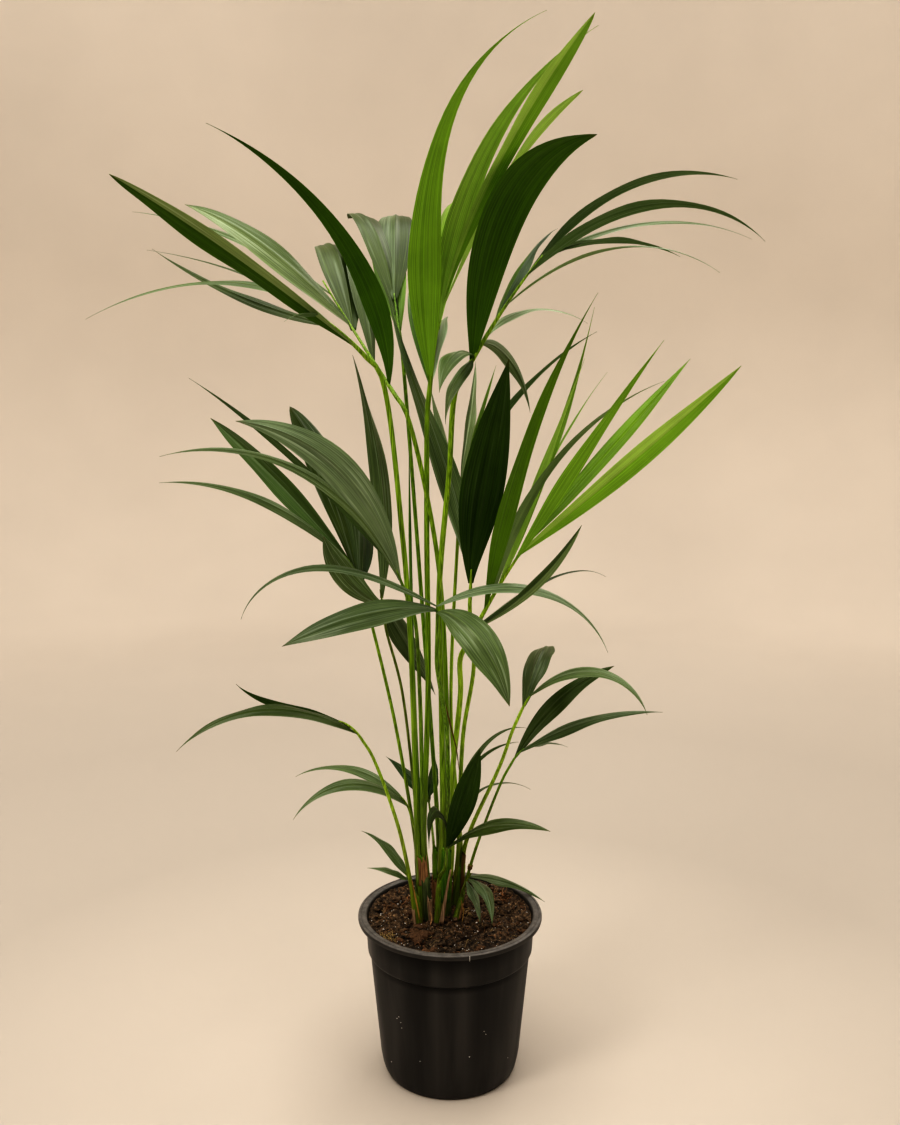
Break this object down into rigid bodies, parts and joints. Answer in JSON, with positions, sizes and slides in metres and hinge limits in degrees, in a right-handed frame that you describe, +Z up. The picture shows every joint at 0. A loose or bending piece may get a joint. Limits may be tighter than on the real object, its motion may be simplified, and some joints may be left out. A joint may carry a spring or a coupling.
{
  "type": "potted kentia palm",
  "caption": "Clump of young kentia palms with arching leaflets on slender stalks, in a round tapered nursery pot of dark peat.",
  "frame": {"origin": "centre of the pot's flat underside", "axes": "+Z up, away from the pot's underside; +X to the viewer's right and +Y away from the viewer who faces the plant's front"},
  "size_m": [0.694, 0.6053, 1.0326],
  "materials": {
    "pot": "charcoal black moulded plastic, semi-matt",
    "soil": "moist dark brown peat with coarse fibres",
    "stem": "green sheaths with dry brown edges",
    "stalk": "smooth yellow-green stalk, satin",
    "leaf": "green pleated leaflet, satin",
    "young_leaf": "bright yellow-green young leaflet, satin",
    "dark_leaf": "dark green leaflet, satin"
  },
  "bodies": {
    "root": {"pot": "pot", "soil": "soil", "stem_1": "stem", "stem_2": "stem", "stem_3": "stem", "stem_4": "stem", "stem_5": "stem", "stem_6": "stem", "stem_7": "stem", "stem_8": "stem", "stalk_high_left": "stalk", "frond_high_left": "leaf", "stalk_long_left": "stalk", "frond_long_left": "leaf", "stalk_high_back": "stalk", "frond_high_back": "leaf", "stalk_tall_crown": "stalk", "frond_tall_crown": "young_leaf", "stalk_high_right": "stalk", "frond_high_right": "leaf", "stalk_young_back": "stalk", "frond_young_back": "leaf", "stalk_twin_dark": "stalk", "frond_twin_dark": "dark_leaf", "stalk_bright_right": "stalk", "frond_bright_right": "young_leaf", "stalk_droop_front": "stalk", "frond_droop_front": "leaf", "stalk_mid_left": "stalk", "frond_mid_left": "leaf", "stalk_dark_left": "stalk", "frond_dark_left": "dark_leaf", "stalk_leaning_left": "stalk", "frond_leaning_left": "dark_leaf", "stalk_bow_left": "stalk", "frond_bow_left": "leaf", "stalk_small_left": "stalk", "frond_small_left": "leaf", "stalk_foot_left": "stalk", "frond_foot_left": "leaf", "stalk_bow_right": "stalk", "frond_bow_right": "leaf", "stalk_low_right": "stalk", "frond_low_right": "leaf", "stalk_low_front": "stalk", "frond_low_front": "leaf", "stalk_tiny_back": "stalk", "frond_tiny_back": "dark_leaf", "stalk_foot_right": "stalk", "frond_foot_right": "leaf", "spear_leaf": "leaf"}
  },
  "joints": []
}
